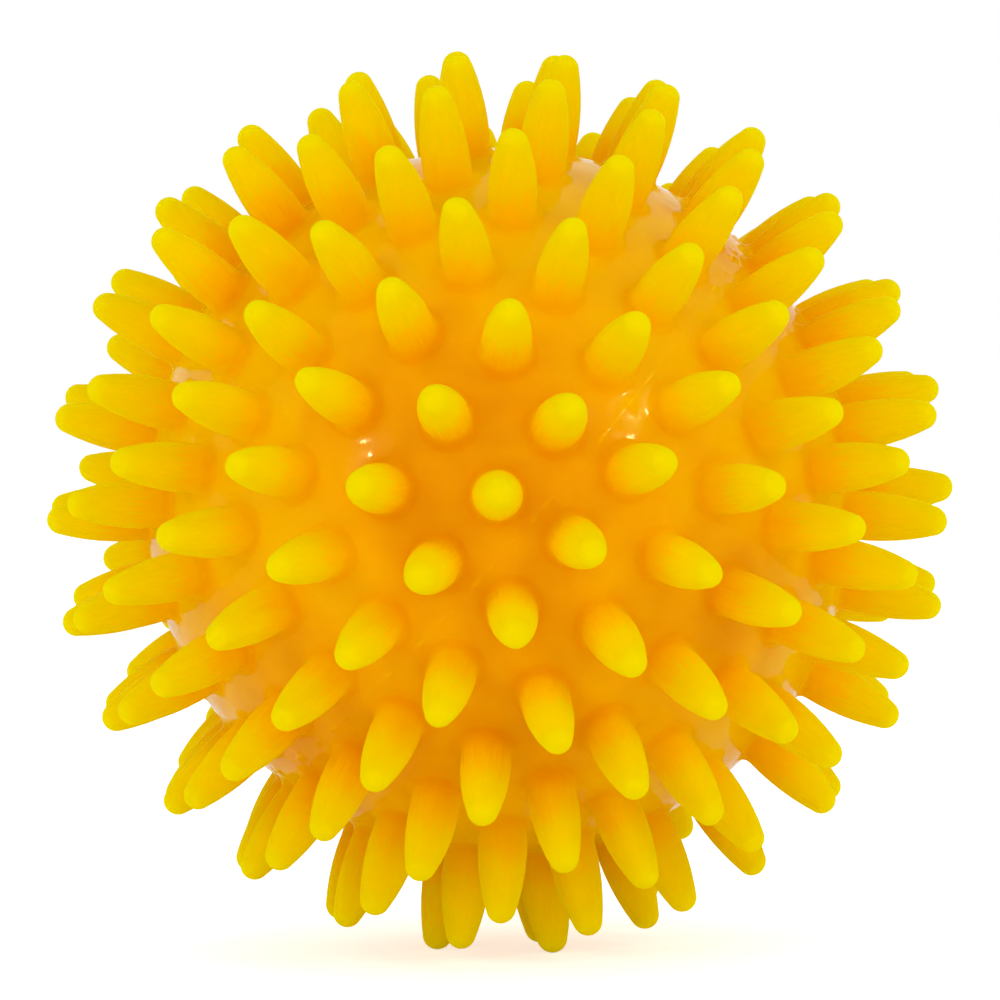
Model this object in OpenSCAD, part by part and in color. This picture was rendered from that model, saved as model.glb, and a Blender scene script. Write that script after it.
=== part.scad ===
// Spiky sensory ball: a hollow soft vinyl skin, rows of round-ended spikes and an air valve with a stopper.
// The ball's centre is the origin. It stands on three spike tips, with +Z up.
// The valve is at the back, towards +Y.

/* [Skin] */
// Outside radius of the round skin
skin_r = 39; // [37:0.5:42]
// Wall of the skin
skin_wall = 2.4; // [1.8:0.1:3.2]
// How far the parting bead stands out of the skin
bead_rise = 0.1; // [0.1:0.05:0.3]
// Half the width of the parting bead where it leaves the skin
bead_half_w = 0.25; // [0.2:0.05:0.4]

/* [Spikes] */
// Length of a spike, from the skin to its tip
spike_len = 11; // [9:0.5:13]
// Radius of a spike's round tip
spike_tip_r = 1.6; // [1.4:0.05:1.8]
// Slope of a spike's side where it leaves the round tip
spike_shoulder_deg = 17; // [15:0.5:18.5]
// Radius of the bulge of a spike's side, along its length
spike_bulge_r = 26; // [23:1:32]
// Fillet between a spike and the skin
spike_fillet_r = 1; // [0.6:0.1:1.1]

/* [Rows] */
// Latitude of the rows next to the parting line
first_row_deg = 6.45; // [6.3:0.05:6.8]
// Step in latitude from row to row
row_step_deg = 13.4; // [13.2:0.1:13.6]

/* [Stance] */
// Lean of the mould's axis from upright
ball_lean_deg = 48; // [0:0.5:90]
// Turn of the ball about its own mould axis
ball_spin_deg = 87.5; // [0:0.5:360]
// Heading of the leaning axis
ball_heading_deg = -174; // [-180:0.5:180]

/* [Valve] */
// Radius of the valve's barrel, and of the hole in the skin that holds it
barrel_r = 4.2; // [3.8:0.1:4.6]
// Radius of the valve's outside lip
lip_r = 5; // [4.8:0.1:5.2]
// Thickness of the outside lip
lip_t = 0.8; // [0.5:0.1:1.2]
// Radius of the valve's inside flange
flange_r = 6.5; // [5.5:0.1:8]
// Thickness of the inside flange
flange_t = 1.2; // [0.8:0.1:2]
// Radius of the stopper's shank
shank_r = 1.9; // [1.5:0.05:2.3]
// Length of the stopper's shank, with its round end
shank_len = 8; // [6:0.5:12]
// Radius of the stopper's head
head_r = 3.1; // [2.8:0.1:3.4]
// Thickness of the stopper's head
head_t = 1; // [0.7:0.1:1.4]
// Radius of the half-round pull tab on the head
tab_r = 2.3; // [1.8:0.1:2.6]
// Thickness of the pull tab
tab_t = 1.2; // [0.8:0.1:1.6]

/* [Hidden] */
// Fineness of the round shapes
$fn = 48;
// Fineness of the wide circle that a spike's side is cut from
bulge_fn = 360;
// Running clearance between the stopper's shank and its bore, on the radius
shank_gap = 0.05;
// Width of the flat left round the stopper's head
head_margin = 0.4;
// How far a cutting shape runs past what it cuts
overrun = 0.5;
// How far the cut for a spike's flat foot runs past that foot
foot_margin = 0.15;
// The side of a spike starts at this share of the tip's radius, so that the tip swells over it
tip_side_share = 0.995;
// The fillet's round cut has this share of the fillet's radius, so that it bites into the side and the foot
fillet_cut_share = 1.01;
// Spikes in each row of one half, from the parting line towards the pole
row_counts = [26, 24, 21, 18, 12, 6];
// Turn of each row about the mould's axis, upper half
upper_turns_deg = [0, 4, -5, -4, 8.5, -14];
// Turn of each row about the mould's axis, lower half
lower_turns_deg = [2.5, -4.5, -2, 2.5, 6.5, -5];
// The half, row and place that the valve takes instead of a spike
valve_half_sign = -1;
valve_row_index = 1;
valve_place_index = 12;

// The two halves of the mould
upper = 1;
lower = -1;
last_row = len(row_counts) - 1;

// Skin
inner_r = skin_r - skin_wall;
// The bead's section is an arc through both its feet and its crest
bead_r = (bead_half_w * bead_half_w + bead_rise * bead_rise) / (bead_rise + bead_rise);
bead_centre = skin_r + bead_rise - bead_r;

// Spike outline, in the plane of its axis: the side is an arc that leaves the round tip at its shoulder
tip_reach = skin_r + spike_len;
tip_centre = [0, tip_reach - spike_tip_r];
shoulder_n = [cos(spike_shoulder_deg), sin(spike_shoulder_deg)];
side_top = tip_centre + spike_tip_r * tip_side_share * shoulder_n;
side_centre = side_top - spike_bulge_r * shoulder_n;
// The fillet's centre lies one fillet radius off the side's arc and off the skin
fillet_reach = skin_r + spike_fillet_r;
bulge_reach = spike_bulge_r + spike_fillet_r;
side_apart = norm(side_centre);
side_way = side_centre / side_apart;
apart_gain = side_apart * side_apart + fillet_reach * fillet_reach - bulge_reach * bulge_reach;
fillet_along = apart_gain / (side_apart + side_apart);
fillet_across = sqrt(fillet_reach * fillet_reach - fillet_along * fillet_along);
fillet_centre = fillet_along * side_way + fillet_across * [side_way[1], -side_way[0]];
fillet_top = side_centre + (spike_bulge_r / bulge_reach) * (fillet_centre - side_centre);
// The spike stands on a flat that meets the skin where the fillet ends
foot = fillet_centre * (skin_r / fillet_reach);

// Valve, measured along its axis from the ball's centre
bore_r = shank_r + shank_gap;
lip_reach = skin_r + lip_t;
seat_r = head_r + head_margin;
seat_z = sqrt(lip_reach * lip_reach - seat_r * seat_r);
flange_reach = inner_r - flange_t;

// Latitude of a row: even steps, and the last row midway between its neighbour and the pole
function even_lat(row) = first_row_deg + row_step_deg * row;
function row_lat(row) = row < last_row ? even_lat(row) : (even_lat(row - 1) + 90) / 2;
function row_turn(half, row) = half == upper ? upper_turns_deg[row] : lower_turns_deg[row];
function spike_lon(half, row, place) = row_turn(half, row) + 360 * place / row_counts[row];
function is_valve_row(half, row) = half == valve_half_sign && row == valve_row_index;
function is_valve(half, row, place) = is_valve_row(half, row) && place == valve_place_index;

// Where the valve sits on the mould
valve_lat = valve_half_sign * row_lat(valve_row_index);
valve_lon = spike_lon(valve_half_sign, valve_row_index, valve_place_index);

// Turns the mould's frame to the way the ball stands
module stand() {
    rotate([0, 0, ball_heading_deg])
        rotate([0, ball_lean_deg, 0])
            rotate([0, 0, ball_spin_deg])
                children();
}

// Points +Z of its children at a latitude and longitude of the mould
module aim(lat, lon) {
    rotate([0, 90 - lat, lon])
        children();
}

module at_row(half, row) {
    for (place = [0 : row_counts[row] - 1])
        if (!is_valve(half, row, place))
            aim(half * row_lat(row), spike_lon(half, row, place))
                children();
}

module at_valve() {
    aim(valve_lat, valve_lon)
        children();
}

module spike_outline() {
    difference() {
        polygon([
            [0, foot[1]],
            foot,
            fillet_centre,
            fillet_top,
            [0, fillet_top[1]]
        ]);
        translate(fillet_centre)
            circle(r = spike_fillet_r * fillet_cut_share);
    }
    intersection() {
        translate(side_centre)
            circle(r = spike_bulge_r, $fn = bulge_fn);
        translate([0, foot[1]])
            square([fillet_centre[0], side_top[1] - foot[1]]);
    }
    intersection() {
        translate(tip_centre)
            circle(r = spike_tip_r);
        translate([0, tip_centre[1] - spike_tip_r - overrun])
            square([spike_tip_r + overrun, spike_tip_r + spike_tip_r + overrun + overrun]);
    }
}

module spike() {
    rotate_extrude()
        spike_outline();
}

module spike_row(half, row) {
    stand()
        at_row(half, row)
            spike();
}

module spike_pole(half) {
    stand()
        aim(half * 90, 0)
            spike();
}

// What a spike's flat foot takes off the round skin
module foot_cut() {
    translate([0, 0, foot[1]])
        cylinder(r = foot[0] + foot_margin, h = spike_len);
}

module skin() {
    color("orange")
        stand()
            difference() {
                union() {
                    sphere(r = skin_r);
                    rotate_extrude()
                        translate([bead_centre, 0])
                            circle(r = bead_r);
                }
                sphere(r = inner_r);
                for (half = [upper, lower]) {
                    for (row = [0 : last_row])
                        at_row(half, row)
                            foot_cut();
                    aim(half * 90, 0)
                        foot_cut();
                }
                at_valve()
                    cylinder(r = barrel_r, h = lip_reach + overrun);
            }
}

module upper_spikes_row1() {
    color("gold")
        spike_row(upper, 0);
}

module upper_spikes_row2() {
    color("yellow")
        spike_row(upper, 1);
}

module upper_spikes_row3() {
    color("gold")
        spike_row(upper, 2);
}

module upper_spikes_row4() {
    color("yellow")
        spike_row(upper, 3);
}

module upper_spikes_row5() {
    color("gold")
        spike_row(upper, 4);
}

module upper_spikes_row6() {
    color("yellow")
        spike_row(upper, 5);
}

module upper_spike_pole() {
    color("gold")
        spike_pole(upper);
}

module lower_spikes_row1() {
    color("gold")
        spike_row(lower, 0);
}

module lower_spikes_row2() {
    color("yellow")
        spike_row(lower, 1);
}

module lower_spikes_row3() {
    color("gold")
        spike_row(lower, 2);
}

module lower_spikes_row4() {
    color("yellow")
        spike_row(lower, 3);
}

module lower_spikes_row5() {
    color("gold")
        spike_row(lower, 4);
}

module lower_spikes_row6() {
    color("yellow")
        spike_row(lower, 5);
}

module lower_spike_pole() {
    color("gold")
        spike_pole(lower);
}

// A slice of a round wall about the valve's axis, out to a radius
module wall_slice(r_in, r_out, reach) {
    intersection() {
        difference() {
            circle(r = r_out);
            circle(r = r_in);
        }
        square([reach, r_out + overrun]);
    }
}

module valve_seat() {
    color("darkorange")
        stand()
            at_valve()
                difference() {
                    rotate_extrude()
                        union() {
                            wall_slice(flange_reach, inner_r, flange_r);
                            intersection() {
                                wall_slice(flange_reach, lip_reach, barrel_r);
                                square([barrel_r, seat_z]);
                            }
                            intersection() {
                                wall_slice(skin_r, lip_reach, lip_r);
                                square([lip_r, seat_z]);
                            }
                        }
                    cylinder(r = bore_r, h = lip_reach + overrun);
                }
}

module valve_stopper() {
    color("white")
        stand()
            at_valve()
                translate([0, 0, seat_z]) {
                    cylinder(r = head_r, h = head_t);
                    translate([0, 0, shank_r - shank_len])
                        cylinder(r = shank_r, h = shank_len - shank_r);
                    translate([0, 0, shank_r - shank_len])
                        sphere(r = shank_r);
                    translate([0, tab_t / 2, head_t])
                        rotate([90, 0, 0])
                            linear_extrude(height = tab_t)
                                intersection() {
                                    circle(r = tab_r);
                                    translate([-tab_r, 0])
                                        square([tab_r + tab_r, tab_r]);
                                }
                }
}

skin();
upper_spikes_row1();
upper_spikes_row2();
upper_spikes_row3();
upper_spikes_row4();
upper_spikes_row5();
upper_spikes_row6();
upper_spike_pole();
lower_spikes_row1();
lower_spikes_row2();
lower_spikes_row3();
lower_spikes_row4();
lower_spikes_row5();
lower_spikes_row6();
lower_spike_pole();
valve_seat();
valve_stopper();
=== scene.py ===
"""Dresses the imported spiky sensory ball.

One soft vinyl moulding replaces the skin and its spikes, and the valve keeps its solids.
The stage is a white floor in a white studio, seen by the photo's camera.
"""

import math

import bmesh
import bpy
import numpy as np
from mathutils import Matrix, Vector
from mathutils.geometry import delaunay_2d_cdt


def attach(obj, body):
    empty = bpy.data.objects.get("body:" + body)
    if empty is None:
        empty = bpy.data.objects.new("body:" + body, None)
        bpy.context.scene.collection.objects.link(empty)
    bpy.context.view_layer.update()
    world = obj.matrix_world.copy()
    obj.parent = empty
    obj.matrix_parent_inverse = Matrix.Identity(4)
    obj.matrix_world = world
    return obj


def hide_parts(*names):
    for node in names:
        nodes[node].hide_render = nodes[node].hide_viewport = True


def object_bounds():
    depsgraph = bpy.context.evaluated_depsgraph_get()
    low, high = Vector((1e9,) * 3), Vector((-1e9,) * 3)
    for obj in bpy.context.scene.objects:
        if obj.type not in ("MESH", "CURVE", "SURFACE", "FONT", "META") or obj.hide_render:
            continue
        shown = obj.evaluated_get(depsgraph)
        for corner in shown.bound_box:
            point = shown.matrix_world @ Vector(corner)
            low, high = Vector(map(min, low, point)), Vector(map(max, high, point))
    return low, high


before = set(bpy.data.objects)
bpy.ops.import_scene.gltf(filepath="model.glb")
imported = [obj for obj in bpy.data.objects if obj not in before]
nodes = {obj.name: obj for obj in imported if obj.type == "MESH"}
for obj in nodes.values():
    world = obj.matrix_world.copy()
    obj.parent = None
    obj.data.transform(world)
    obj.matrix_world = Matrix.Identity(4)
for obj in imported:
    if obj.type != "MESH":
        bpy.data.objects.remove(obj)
cad_lo, cad_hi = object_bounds()
scene = bpy.context.scene
rng = np.random.RandomState(7)

MM = 0.001
FULL_TURN = 2 * math.pi

# Sizes of the moulding, in millimetres, as the solids have them
SKIN_R = 39.0
TIP_REACH = 50.0
TIP_R = 1.6
SHOULDER = math.radians(17)
SIDE_R = 26.0
FILLET_R = 1.0
BARREL_R = 4.2
# The hidden hollow is drawn smaller than the solids' one, so that light scatters as in thick soft vinyl
INNER_R = 26.0

# Rows of spikes about the mould's axis, from the parting line to the pole
ROW_COUNTS = (26, 24, 21, 18, 12, 6)
FIRST_ROW_DEG = 6.45
ROW_STEP_DEG = 13.4
UPPER_TURNS_DEG = (0, 4, -5, -4, 8.5, -14)
LOWER_TURNS_DEG = (2.5, -4.5, -2, 2.5, 6.5, -5)
# The half, row and place that the valve takes instead of a spike
VALVE = (-1, 1, 12)
LEAN_DEG, SPIN_DEG, HEADING_DEG = 48, 87.5, -174

# How unlike each other the spikes are: sideways bend of the tip in millimetres, and how oval they are
BEND_SPREAD = 0.22
BEND_POWER = 1.6
OVAL_SPREAD = 0.015

# The parting bead runs round the mould's equator, thin between lumps that come from three waves
BEAD_RISE = 0.1
BEAD_HALF_DEG = 0.37
BEAD_WAVES = ((11, 1), (29, 2), (67, 0))
WAVE_GAIN = 2.0
THIN_RISE_SHARE = 0.15
LUMP_RISE_SHARE = 1.6
THIN_WIDTH_SHARE = 0.7
WIDEST_SHARE = THIN_WIDTH_SHARE + 1

# Fineness of the mesh: counts round and along, and steps in millimetres
SEGMENTS = 24
TIP_RINGS = 6
SIDE_RINGS = 6
FILLET_RINGS = 4
BEAD_COUNT = 640
BEAD_ROWS = (-1, -0.66, -0.33, 0, 0.33, 0.66, 1)
FILL_STEP = 1.0
INNER_STEP = 3.0
# How far the filling points stay off an edge, as a share of their step
FILL_CLEAR = 0.55
INNER_CLEAR = 0.5
# The owner of points that belong to no spike and no hole
SKIN = -1
# Points nearer to each other than this, on the flat map of the sphere, are one
WELD = 1e-9
# An axis steeper than this takes its side directions from X in place of Z
STEEP = 0.9

# Broad spots of thick, deeper orange wall lie all round; those two in front and the one at the valve are
# painted shade
THICK_SPOT_DEG = 19.0
FRONT_SHADE_SPOTS = ((0.0, -1.0, 0.0), (0.0, -0.77, -0.64))
SPOT_STEP = 1.0

# Vinyl, from thick deep orange skin to the lemon tips of the spikes
VINYL_COLOURS = (
    (0.0, (0.82, 0.34, 0.0)),
    (0.25, (0.955, 0.5, 0.0)),
    # Lighter just above the skin, on the fillets at the spikes' feet: painted light over the shade in those
    # creases
    (0.32, (0.945, 0.525, 0.0)),
    (0.56, (0.845, 0.595, 0.0)),
    (1.0, (0.735, 0.57, 0.0)),
)
# Where the skin lies on those colours, and how far mottles, thick wall and painted shade, and streaks with
# painted sheen move it
SKIN_SHADE = 0.25
MOTTLE_SHADE = 0.06
THICK_AND_SHADED_SKIN, THICK_AND_SHADED_SPIKES = 0.18, 0.31
STREAK_AND_SHEEN_SHADE = 0.1
SKIN_ROUGHNESS, SPIKE_ROUGHNESS = 0.09, 0.45
SKIN_GLOSS, SPIKE_GLOSS = 0.045, 0.001
GLOSS_TINT = (1.0, 0.9, 0.4, 1)
VINYL_SCATTER = (1.0, 0.6, 0.1)
# Heights of the streaks' ridges, the skin's ripples and the grain, against each other
RIDGE_RELIEF, RIPPLE_RELIEF, GRAIN_RELIEF = 0.2, 1.5, 0.2
# Length of a spike in the noise of its streaks, where once round it is a circle of radius 1
STREAK_SHARE = 0.4
# Most of a noise's values lie in this range
NOISE_RANGE = (0.3, 0.7)
# Parts of a spike's height over which its looks change: thick wall and painted shade, streaks with painted
# sheen, gloss and ripples
THICK_FADE = (0, 0.3)
STREAK_START, STREAK_END = (0.1, 0.4), (0.6, 0.9)
GLOSS_FADE = (0, 0.5)
RIPPLE_FADE = (0, 0.15)

# The valve's soft seat and its white stopper
SEAT_COLOURS = ((0.3, (0.94, 0.43, 0.0)), (0.7, (0.98, 0.53, 0.005)))
SEAT_ROUGHNESS = (0.32, 0.48)
SEAT_GLOSS = 0.2
STOPPER_COLOURS = ((0.3, (0.82, 0.79, 0.69)), (0.7, (0.90, 0.88, 0.81)))
STOPPER_SCATTER = (1.0, 0.8, 0.6)
STOPPER_ROUGHNESS = (0.3, 0.5)
STOPPER_GLOSS = 0.35
# Handling marks show more than other noise, because they use a narrower range of it
MARKS_RANGE = (0.35, 0.65)

# Stage, in metres and watts
WHITE = (1, 1, 1, 1)
FLOOR_COLOUR = (0.93, 0.93, 0.93, 1)
FLOOR_HALF = 3.0
FLOOR_GLOW, FLOOR_GLOW_SEEN = 0.12, 0.55
SIDE_WALL_LIGHT, END_WALL_LIGHT = 0.66, 1.22
# Name, place, target, width and power of each lamp
LAMPS = (
    ("key", (0.51, -0.5, 0.37), (0, 0, 0), 0.22, 0.67),
    ("fill", (-0.51, -0.59, 0.21), (0, 0, 0), 0.22, 0.67),
    ("low", (0.05, -0.8, -0.02), (0, 0, -0.01), 0.2, 0.28),
)
SPARKS = (
    ("key_spark", (0.53, -0.52, 0.37), (0, 0, 0), 0.02, 2.3),
    ("fill_spark", (-0.53, -0.6, 0.2), (0, 0, 0), 0.02, 2.3),
)

# The photo's camera looks along +Y from in front, turned a little, with its axis near the picture's middle
CAMERA_TURN = Vector((0.0279, 0.0021, 0.0149))
CAMERA_AXES = Matrix(((1, 0, 0), (0, 0, 1), (0, -1, 0)))
CAMERA_DISTANCE = 0.6412
FOCAL_PX = 5807
IMAGE_PX = 1000
AXIS_PX = (499.77, 501.657)
SENSOR_MM = 36
CLIP_NEAR, CLIP_FAR = 0.01, 20


def turn(axis, degrees):
    return np.array(Matrix.Rotation(math.radians(degrees), 3, axis))


STAND = turn("Z", HEADING_DEG) @ turn("Y", LEAN_DEG) @ turn("Z", SPIN_DEG)


def direction(lat, lon):
    """The direction at a latitude and longitude of the mould, in degrees."""
    a, b = math.radians(lat), math.radians(lon)
    return np.array((math.cos(a) * math.cos(b), math.cos(a) * math.sin(b), math.sin(a)))


def lattice():
    """Axes of the spikes in the mould's frame, each half's rows and then its pole, and the valve's axis."""
    axes, valve = [], None
    for half, turns in ((1, UPPER_TURNS_DEG), (-1, LOWER_TURNS_DEG)):
        for row, count in enumerate(ROW_COUNTS):
            lat = FIRST_ROW_DEG + ROW_STEP_DEG * row
            # The last row lies halfway from the one before it to the pole
            if row == len(ROW_COUNTS) - 1:
                lat = (lat - ROW_STEP_DEG + 90) / 2
            for place in range(count):
                axis = direction(half * lat, turns[row] + 360 * place / count)
                if (half, row, place) == VALVE:
                    valve = axis
                else:
                    axes.append(axis)
        axes.append(direction(half * 90, 0))
    return np.array(axes), valve


def side_axes(axis):
    """Two directions square to an axis."""
    other = np.array((0.0, 0.0, 1.0)) if abs(axis[2]) < STEEP else np.array((1.0, 0.0, 0.0))
    u = np.cross(other, axis)
    u /= np.linalg.norm(u)
    return u, np.cross(axis, u)


def arc(centre, radius, start, end, steps):
    """Points along an arc, both ends with them."""
    return [
        centre + radius * np.array((math.cos(a), math.sin(a)))
        for a in np.linspace(start, end, steps + 1)
    ]


def spike_profile():
    """(radius, height from the ball's centre) of a spike's rings, from its foot on the skin to its tip."""
    tip_centre = np.array((0.0, TIP_REACH - TIP_R))
    shoulder = np.array((math.cos(SHOULDER), math.sin(SHOULDER)))
    # The side is an arc that leaves the round tip at its shoulder
    side_centre = tip_centre + (TIP_R - SIDE_R) * shoulder
    # The fillet touches both the side's arc and the skin
    reach, gap = SKIN_R + FILLET_R, SIDE_R + FILLET_R
    apart = np.linalg.norm(side_centre)
    along = (reach * reach - gap * gap + apart * apart) / (2 * apart)
    toward = side_centre / apart
    across = np.array((-toward[1], toward[0]))
    across = across if across[0] > 0 else -across
    fillet_centre = along * toward + math.sqrt(reach * reach - along * along) * across
    skin_angle = math.atan2(-fillet_centre[1], -fillet_centre[0])
    outward = fillet_centre - side_centre
    side_angle = math.atan2(outward[1], outward[0])
    points = arc(fillet_centre, FILLET_R, skin_angle, side_angle - math.pi, FILLET_RINGS)
    points += arc(side_centre, SIDE_R, side_angle, SHOULDER, SIDE_RINGS)[1:]
    points += arc(tip_centre, TIP_R, SHOULDER, math.pi / 2, TIP_RINGS)[1:]
    return np.array(points)


def ring_angles():
    return np.linspace(0, FULL_TURN, SEGMENTS, endpoint=False)


def ring(axis, radius, height):
    """Points of a ring about an axis."""
    u, v = side_axes(axis)
    angles = ring_angles()
    return height * axis + radius * (np.outer(np.cos(angles), u) + np.outer(np.sin(angles), v))


def fibonacci(step, radius):
    """Directions spread evenly over a sphere, about a step apart."""
    count = int(4 * math.pi * radius * radius / (step * step))
    i = np.arange(count) + 0.5
    z = 1 - 2 * i / count
    lon = i * math.pi * (3 - math.sqrt(5))
    flat = np.sqrt(1 - z * z)
    return np.stack((flat * np.cos(lon), flat * np.sin(lon), z), 1)


def triangulate(points, edges, pole):
    """Faces of the sphere's Delaunay mesh through points, seen from a pole that lies in a hole of it."""
    u, v = side_axes(pole)
    unit = points / np.linalg.norm(points, axis=1)[:, None]
    scale = 1 / (1 - unit @ pole)
    flat = np.stack(((unit @ u) * scale, (unit @ v) * scale), 1)
    out = delaunay_2d_cdt([Vector(p) for p in flat], edges, [], 0, WELD)
    source = [ids[0] if ids else -1 for ids in out[3]]
    return [tuple(source[i] for i in face) for face in out[2]]


def loop_edges(first, count):
    return [(first + k, first + (k + 1) % count) for k in range(count)]


class Shell:
    """Points and faces of the moulding as it is put together, in the mould's frame and in millimetres."""

    def __init__(self):
        self.points = []
        self.owner = []
        self.ways = []
        self.edges = []
        self.faces = []

    def add(self, points, owner, ways=None):
        """Adds points with one owner, and gives their numbers."""
        first = len(self.points)
        self.points.extend(points)
        self.owner.extend([owner] * len(points))
        self.ways.extend(np.zeros((len(points), 3)) if ways is None else ways)
        return range(first, len(self.points))

    def add_loop(self, points, owner):
        """Adds a closed row of points whose edges the skin keeps."""
        loop = self.add(points, owner)
        self.edges += loop_edges(loop[0], len(loop))
        return loop

    def bridge(self, below, above):
        """Joins two closed rows of points."""
        for k, j in loop_edges(0, len(below)):
            self.faces.append((below[k], below[j], above[j], above[k]))

    def close(self, loop, apex):
        """Joins a closed row of points to one point."""
        for k, j in loop_edges(0, len(loop)):
            self.faces.append((loop[k], loop[j], apex))


def add_bead(shell):
    """The parting bead: fine rows along the mould's equator."""
    lon = np.linspace(0, FULL_TURN, BEAD_COUNT, endpoint=False)
    lump = np.full(BEAD_COUNT, WAVE_GAIN)
    for count, phase in BEAD_WAVES:
        lump = lump * np.sin(count * lon + phase)
    lump = np.clip(lump, 0, 1)
    for share in BEAD_ROWS:
        lift = BEAD_RISE * (THIN_RISE_SHARE + LUMP_RISE_SHARE * lump) * (1 - share * share)
        lat = math.radians(BEAD_HALF_DEG) * share * (THIN_WIDTH_SHARE + lump)
        way = np.stack((np.cos(lon) * np.cos(lat), np.sin(lon) * np.cos(lat), np.sin(lat)), 1)
        shell.add_loop(way * (SKIN_R + lift)[:, None], SKIN)


def add_fill(shell, axes, valve, foot_angle, hole_angle):
    """Points spread over the skin, clear of the spikes' feet, the valve's hole and the bead."""
    fill = fibonacci(FILL_STEP, SKIN_R)
    clear = FILL_STEP * FILL_CLEAR / SKIN_R
    bead_angle = math.radians(WIDEST_SHARE * BEAD_HALF_DEG)
    keep = (fill @ axes.T).max(1) < math.cos(foot_angle + clear)
    keep &= fill @ valve < math.cos(hole_angle + clear)
    keep &= np.abs(fill[:, 2]) > math.sin(bead_angle + clear)
    shell.add(fill[keep] * SKIN_R, SKIN)


def add_skin(shell, pole):
    """Faces through all the points so far, apart from those that would close a foot or the valve's hole."""
    for face in triangulate(np.array(shell.points), shell.edges, pole):
        owners = {shell.owner[i] for i in face}
        if len(owners) > 1 or SKIN in owners:
            shell.faces.append(face)


def add_spike(shell, number, axis, foot, profile):
    """A spike on its foot, a little bent and a little unlike its neighbours."""
    u, v = side_axes(axis)
    bend = rng.normal(0, BEND_SPREAD, 2)
    oval = 1 + rng.normal(0, OVAL_SPREAD)
    start = rng.uniform(0, FULL_TURN)
    tip_shift = bend[0] * u + bend[1] * v
    angles = ring_angles()
    across = np.outer(np.cos(angles) * oval, u) + np.outer(np.sin(angles) / oval, v)
    way = np.stack((np.cos(angles + start), np.sin(angles + start), np.zeros(SEGMENTS)), 1)
    below = foot
    for radius, height in profile[1:-1]:
        up = (height - SKIN_R) / (TIP_REACH - SKIN_R)
        lean = max(up, 0) ** BEND_POWER
        points = height * axis + lean * tip_shift + radius * across
        above = shell.add(points, number, way + (0, 0, start + STREAK_SHARE * up))
        shell.bridge(below, above)
        below = above
    apex = shell.add([profile[-1][1] * axis + tip_shift], number, [(0, 0, start + STREAK_SHARE)])
    shell.close(below, apex[0])


def add_hollow(shell, valve, hole):
    """The hollow inside, and the wall of the valve's hole that leads to it."""
    angle = math.asin(BARREL_R / INNER_R)
    spread = fibonacci(INNER_STEP, INNER_R)
    clear = INNER_STEP * INNER_CLEAR / INNER_R
    spread = spread[spread @ valve < math.cos(angle + clear)] * INNER_R
    sheet = np.concatenate((ring(valve, BARREL_R, INNER_R * math.cos(angle)), spread))
    inner = shell.add(sheet, SKIN)
    for face in triangulate(sheet, loop_edges(0, SEGMENTS), valve):
        # A face of the ring's points alone would close the hole
        if max(face) >= SEGMENTS:
            shell.faces.append(tuple(inner[i] for i in face))
    shell.bridge(hole, inner[:SEGMENTS])


def thick_wall_and_shade(points, valve):
    """How thick the vinyl is at points, 0 to 1, with painted shade in the spots in front and at the valve.
    """
    spots = np.concatenate((FRONT_SHADE_SPOTS, [valve], fibonacci(SPOT_STEP, 1)))
    unit = points / np.linalg.norm(points, axis=1)[:, None]
    apart = np.degrees(np.arccos(np.clip(unit @ spots.T, -1, 1)))
    return np.clip(np.exp(-((apart / THICK_SPOT_DEG) ** 2)).sum(1), 0, 1)


def linked(name, data):
    """A new object in the scene."""
    obj = bpy.data.objects.new(name, data)
    scene.collection.objects.link(obj)
    return obj


def set_attribute(mesh, name, kind, field, values):
    attribute = mesh.attributes.new(name, kind, "POINT")
    attribute.data.foreach_set(field, np.array(values, dtype=np.float32).ravel())


def moulding():
    """The skin and its spikes as one closed mesh, hollow, with a hole for the valve."""
    axes, valve = lattice()
    profile = spike_profile()
    foot_r, foot_z = profile[0]
    foot_angle = math.atan2(foot_r, foot_z)
    hole_angle = math.asin(BARREL_R / SKIN_R)

    shell = Shell()
    feet = [shell.add_loop(ring(axis, foot_r, foot_z), i) for i, axis in enumerate(axes)]
    hole = shell.add_loop(ring(valve, BARREL_R, SKIN_R * math.cos(hole_angle)), len(axes))
    add_bead(shell)
    add_fill(shell, axes, valve, foot_angle, hole_angle)
    upper_pole = axes[sum(ROW_COUNTS)]
    add_skin(shell, upper_pole)
    skin_faces = len(shell.faces)
    for i, axis in enumerate(axes):
        add_spike(shell, i, axis, feet[i], profile)
    spikes = slice(skin_faces, len(shell.faces))
    add_hollow(shell, valve, hole)

    place = np.array(shell.points) @ STAND.T * MM
    mesh = bpy.data.meshes.new("ball_moulding")
    mesh.from_pydata(place.tolist(), [], shell.faces)
    bm = bmesh.new()
    bm.from_mesh(mesh)
    bmesh.ops.recalc_face_normals(bm, faces=bm.faces)
    bm.to_mesh(mesh)
    bm.free()
    mesh.shade_smooth()
    # The spikes are duller than the skin, so they have a material of their own
    kind = np.zeros(len(shell.faces), dtype=np.int32)
    kind[spikes] = 1
    mesh.polygons.foreach_set("material_index", kind)
    # Round and along each spike, for the fine streaks on its side, and how thick the wall is, with painted
    # shade in front and at the valve
    set_attribute(mesh, "spike_way", "FLOAT_VECTOR", "vector", shell.ways)
    set_attribute(mesh, "thick_wall_and_shade", "FLOAT", "value", thick_wall_and_shade(place, STAND @ valve))
    return linked("ball_moulding", mesh)


def empty_tree(owner, kind):
    """The cleared node tree of a material or world, with a new output."""
    owner.use_nodes = True
    tree = owner.node_tree
    tree.nodes.clear()
    return tree, tree.nodes.new(kind)


def material(name):
    mat = bpy.data.materials.new(name)
    tree, out = empty_tree(mat, "ShaderNodeOutputMaterial")
    shader = tree.nodes.new("ShaderNodeBsdfPrincipled")
    tree.links.new(shader.outputs[0], out.inputs["Surface"])
    return mat, tree, shader


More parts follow.
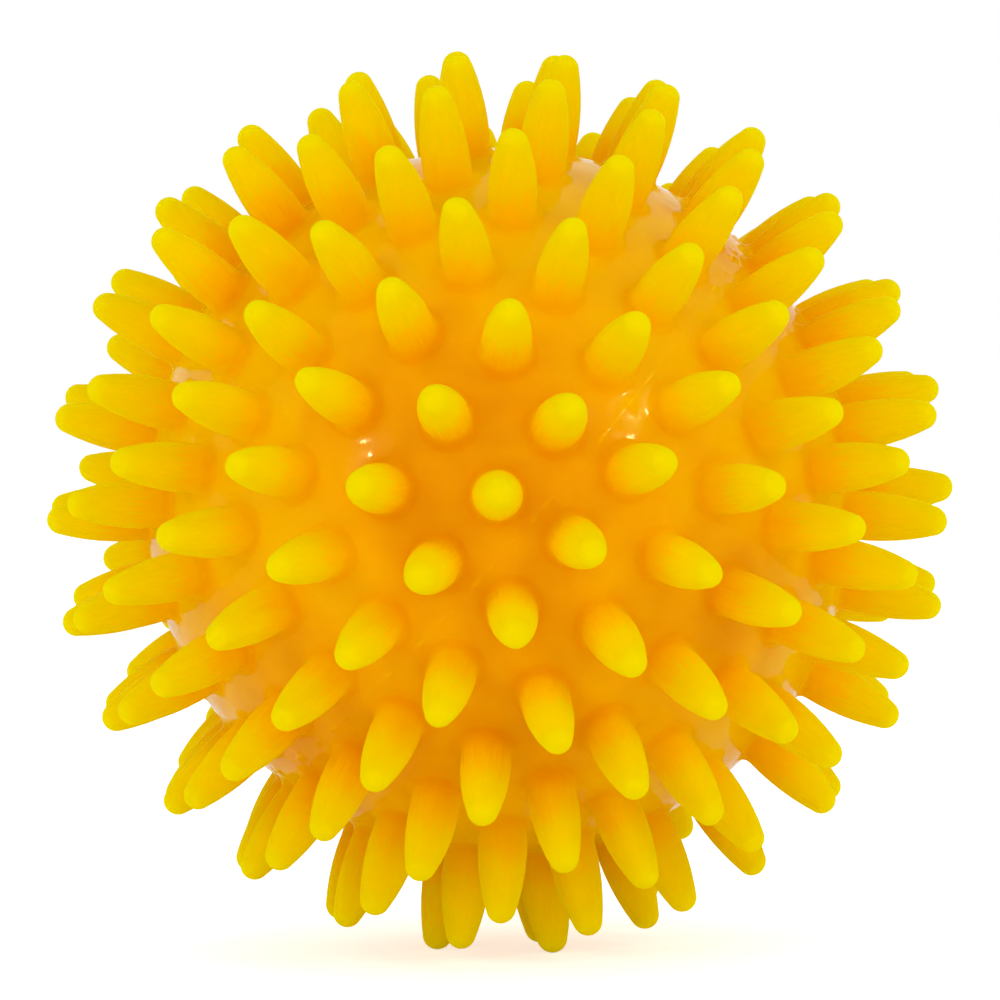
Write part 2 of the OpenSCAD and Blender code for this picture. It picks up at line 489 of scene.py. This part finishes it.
def node(tree, kind, **inputs):
    made = tree.nodes.new(kind)
    for key, value in inputs.items():
        made.inputs[key].default_value = value
    return made


def coordinates(tree, kind):
    return tree.nodes.new("ShaderNodeTexCoord").outputs[kind]


def attribute(tree, name, output):
    made = tree.nodes.new("ShaderNodeAttribute")
    made.attribute_name = name
    return made.outputs[output]


def ramp(tree, source, stops):
    """Colours along a value, from stops in order, each a position and a colour."""
    made = tree.nodes.new("ShaderNodeValToRGB")
    made.color_ramp.interpolation = "EASE"
    elements = made.color_ramp.elements
    elements[0].position = stops[0][0]
    elements[1].position = stops[-1][0]
    for at, _ in stops[1:-1]:
        elements.new(at)
    for element, (_, colour) in zip(elements, stops):
        element.color = (*colour, 1)
    tree.links.new(source, made.inputs[0])
    return made.outputs["Color"]


def scaled(tree, source, old, new):
    """Maps a value from an old range to a new one."""
    made = tree.nodes.new("ShaderNodeMapRange")
    for key, value in zip(("From Min", "From Max", "To Min", "To Max"), (*old, *new)):
        made.inputs[key].default_value = value
    tree.links.new(source, made.inputs["Value"])
    return made.outputs["Result"]


def maths(tree, operation, one, two):
    made = tree.nodes.new("ShaderNodeMath")
    made.operation = operation
    for k, value in enumerate((one, two)):
        if isinstance(value, (int, float)):
            made.inputs[k].default_value = value
        else:
            tree.links.new(value, made.inputs[k])
    return made.outputs[0]


def noise(tree, vector, scale, detail):
    made = node(tree, "ShaderNodeTexNoise", Scale=scale, Detail=detail)
    tree.links.new(vector, made.inputs["Vector"])
    return made.outputs["Fac"]


def scatter(shader, weight, radius, scale):
    """Light that scatters under the surface: how much, how far for each colour, and its length."""
    shader.inputs["Subsurface Weight"].default_value = weight
    shader.inputs["Subsurface Radius"].default_value = radius
    shader.inputs["Subsurface Scale"].default_value = scale


def relief(tree, shader, height, strength, distance):
    """Fine bumps on the surface."""
    bump = node(tree, "ShaderNodeBump", Strength=strength, Distance=distance)
    tree.links.new(height, bump.inputs["Height"])
    tree.links.new(bump.outputs["Normal"], shader.inputs["Normal"])


def vinyl(name, gloss):
    """Translucent yellow vinyl: deeper orange on the skin, bright lemon at the thin tips."""
    mat, tree, shader = material(name)
    place = coordinates(tree, "Object")
    length = tree.nodes.new("ShaderNodeVectorMath")
    length.operation = "LENGTH"
    tree.links.new(place, length.inputs[0])
    # How far up a spike, 0 on the skin to 1 at the tip
    up = scaled(tree, length.outputs["Value"], (SKIN_R * MM, TIP_REACH * MM), (0, 1))
    down = maths(tree, "SUBTRACT", 1, maths(tree, "MULTIPLY", up, up))

    # The skin is mottled, as its wall is not quite even: deeper orange where the vinyl is thick, and
    # painted shade in the spots in front and at the valve
    mottle = noise(tree, place, scale=120, detail=2)
    mottle = scaled(tree, mottle, NOISE_RANGE, (-MOTTLE_SHADE, MOTTLE_SHADE))
    thick_and_shaded = attribute(tree, "thick_wall_and_shade", "Fac")
    # Painted shade on the flanks of the spikes that stand in a spot: deepened further than the skin there
    most = scaled(tree, up, THICK_FADE, (THICK_AND_SHADED_SKIN, THICK_AND_SHADED_SPIKES))
    gather = maths(tree, "MULTIPLY", thick_and_shaded, most)
    mottle = maths(tree, "SUBTRACT", mottle, gather)
    shade = scaled(tree, up, (0, 1), (SKIN_SHADE, 1))
    shade = maths(tree, "ADD", shade, maths(tree, "MULTIPLY", mottle, down))

    # Streaks of lighter and deeper tone run along the spikes, partly painted sheen, and fade at their roots
    # and tips
    way = attribute(tree, "spike_way", "Vector")
    streak = scaled(tree, noise(tree, way, scale=7, detail=2), NOISE_RANGE, (-1, 1))
    streak = maths(tree, "MULTIPLY", streak, scaled(tree, up, STREAK_START, (0, 1)))
    streak = maths(tree, "MULTIPLY", streak, scaled(tree, up, STREAK_END, (1, 0)))
    shade = maths(tree, "ADD", shade, maths(tree, "MULTIPLY", streak, STREAK_AND_SHEEN_SHADE))

    tree.links.new(ramp(tree, shade, VINYL_COLOURS), shader.inputs["Base Color"])
    roughness = scaled(tree, up, GLOSS_FADE, (SKIN_ROUGHNESS, SPIKE_ROUGHNESS))
    tree.links.new(roughness, shader.inputs["Roughness"])
    scatter(shader, weight=1.0, radius=VINYL_SCATTER, scale=0.006)
    shader.inputs["Specular IOR Level"].default_value = gloss
    shader.inputs["Specular Tint"].default_value = GLOSS_TINT

    # Fine grain all over, ridges along the streaks and slow ripples in the skin
    on_skin = scaled(tree, up, RIPPLE_FADE, (RIPPLE_RELIEF, 0))
    ripple = maths(tree, "MULTIPLY", noise(tree, place, scale=260, detail=1), on_skin)
    grain = maths(tree, "MULTIPLY", noise(tree, place, scale=1400, detail=2), GRAIN_RELIEF)
    ridges = maths(tree, "MULTIPLY", streak, RIDGE_RELIEF)
    height = maths(tree, "ADD", maths(tree, "ADD", ridges, ripple), grain)
    relief(tree, shader, height, strength=0.25, distance=0.0003)
    return mat


def valve_rubber():
    """The valve's soft seat: the ball's orange vinyl, more opaque and a little duller."""
    mat, tree, shader = material("valve_rubber")
    place = coordinates(tree, "Object")
    cloud = noise(tree, place, scale=350, detail=3)
    tree.links.new(ramp(tree, cloud, SEAT_COLOURS), shader.inputs["Base Color"])
    tree.links.new(scaled(tree, cloud, NOISE_RANGE, SEAT_ROUGHNESS), shader.inputs["Roughness"])
    scatter(shader, weight=0.5, radius=VINYL_SCATTER, scale=0.001)
    shader.inputs["Specular IOR Level"].default_value = SEAT_GLOSS
    relief(tree, shader, noise(tree, place, scale=2600, detail=3), strength=0.2, distance=0.0001)
    return mat


def stopper_plastic():
    """The stopper: natural white moulded plastic, waxy, with faint clouds and handling marks."""
    mat, tree, shader = material("stopper_plastic")
    place = coordinates(tree, "Object")
    cloud = noise(tree, place, scale=420, detail=4)
    marks = noise(tree, place, scale=1500, detail=3)
    tree.links.new(ramp(tree, cloud, STOPPER_COLOURS), shader.inputs["Base Color"])
    tree.links.new(scaled(tree, marks, MARKS_RANGE, STOPPER_ROUGHNESS), shader.inputs["Roughness"])
    scatter(shader, weight=0.6, radius=STOPPER_SCATTER, scale=0.0008)
    shader.inputs["Specular IOR Level"].default_value = STOPPER_GLOSS
    relief(tree, shader, noise(tree, place, scale=3000, detail=4), strength=0.15, distance=0.00008)
    return mat


def set_material(obj, mat):
    obj.data.materials.clear()
    obj.data.materials.append(mat)


def floor():
    """A white floor under the ball, which keeps its shadow and looks white to the camera."""
    corners = [
        (x * FLOOR_HALF, y * FLOOR_HALF, cad_lo.z)
        for x, y in ((-1, -1), (1, -1), (1, 1), (-1, 1))
    ]
    mesh = bpy.data.meshes.new("floor")
    mesh.from_pydata(corners, [], [(0, 1, 2, 3)])
    mat = bpy.data.materials.new("floor_white")
    tree, out = empty_tree(mat, "ShaderNodeOutputMaterial")
    diffuse = node(tree, "ShaderNodeBsdfDiffuse", Color=FLOOR_COLOUR)
    glow = node(tree, "ShaderNodeEmission", Color=WHITE)
    seen = tree.nodes.new("ShaderNodeLightPath").outputs["Is Camera Ray"]
    strength = scaled(tree, seen, (0, 1), (FLOOR_GLOW, FLOOR_GLOW_SEEN))
    tree.links.new(strength, glow.inputs["Strength"])
    both = tree.nodes.new("ShaderNodeAddShader")
    tree.links.new(diffuse.outputs[0], both.inputs[0])
    tree.links.new(glow.outputs[0], both.inputs[1])
    tree.links.new(both.outputs[0], out.inputs["Surface"])
    mesh.materials.append(mat)
    linked("floor", mesh)


def studio():
    """A white world that the camera and gloss see as plain white."""
    world = bpy.data.worlds.new("studio")
    scene.world = world
    tree, out = empty_tree(world, "ShaderNodeOutputWorld")
    soft = node(tree, "ShaderNodeBackground", Color=WHITE)
    # The white walls in front and behind are brighter than those at the sides
    way = tree.nodes.new("ShaderNodeSeparateXYZ")
    tree.links.new(coordinates(tree, "Generated"), way.inputs[0])
    facing = maths(tree, "MULTIPLY", way.outputs["Y"], way.outputs["Y"])
    light = scaled(tree, facing, (0, 1), (SIDE_WALL_LIGHT, END_WALL_LIGHT))
    tree.links.new(light, soft.inputs["Strength"])
    white = node(tree, "ShaderNodeBackground", Color=WHITE, Strength=1.0)
    path = tree.nodes.new("ShaderNodeLightPath").outputs
    glassy = maths(tree, "MAXIMUM", path["Is Glossy Ray"], path["Is Transmission Ray"])
    seen = maths(tree, "MAXIMUM", path["Is Camera Ray"], glassy)
    mix = tree.nodes.new("ShaderNodeMixShader")
    tree.links.new(seen, mix.inputs[0])
    tree.links.new(soft.outputs[0], mix.inputs[1])
    tree.links.new(white.outputs[0], mix.inputs[2])
    tree.links.new(mix.outputs[0], out.inputs["Surface"])


def lamp(name, place, target, width, power):
    """A round lamp that points at its target."""
    data = bpy.data.lights.new(name, "AREA")
    data.shape = "DISK"
    data.size = width
    data.energy = power
    obj = linked(name, data)
    obj.location = place
    aim = Vector(target) - Vector(place)
    obj.rotation_mode = "QUATERNION"
    obj.rotation_quaternion = aim.to_track_quat("-Z", "Y")
    return obj


def camera():
    """The photo's camera."""
    cam = bpy.data.cameras.new("camera")
    cam.sensor_width = SENSOR_MM
    cam.lens = FOCAL_PX / IMAGE_PX * SENSOR_MM
    cam.clip_start, cam.clip_end = CLIP_NEAR, CLIP_FAR
    cam.shift_x = (IMAGE_PX / 2 - AXIS_PX[0]) / IMAGE_PX
    cam.shift_y = (AXIS_PX[1] - IMAGE_PX / 2) / IMAGE_PX
    obj = linked("camera", cam)
    look = Matrix.Rotation(CAMERA_TURN.length, 3, CAMERA_TURN.normalized()) @ CAMERA_AXES
    pose = look.transposed().to_4x4()
    pose.translation = look.transposed() @ Vector((0, 0, CAMERA_DISTANCE))
    obj.matrix_world = pose
    scene.camera = obj


# The ball and its valve
ball = moulding()
for vinyl_name, vinyl_gloss in (("skin_vinyl", SKIN_GLOSS), ("spike_vinyl", SPIKE_GLOSS)):
    ball.data.materials.append(vinyl(vinyl_name, vinyl_gloss))
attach(ball, "ball")
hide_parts(*[n for n in nodes if n == "skin" or "spike" in n])
set_material(nodes["valve_seat"], valve_rubber())
set_material(nodes["valve_stopper"], stopper_plastic())

# The stage
floor()
studio()
for row in LAMPS:
    lamp(*row)
# Two small lamps that only make the glints on the skin
for row in SPARKS:
    lamp(*row).visible_diffuse = False
camera()

scene.view_settings.view_transform = "Standard"
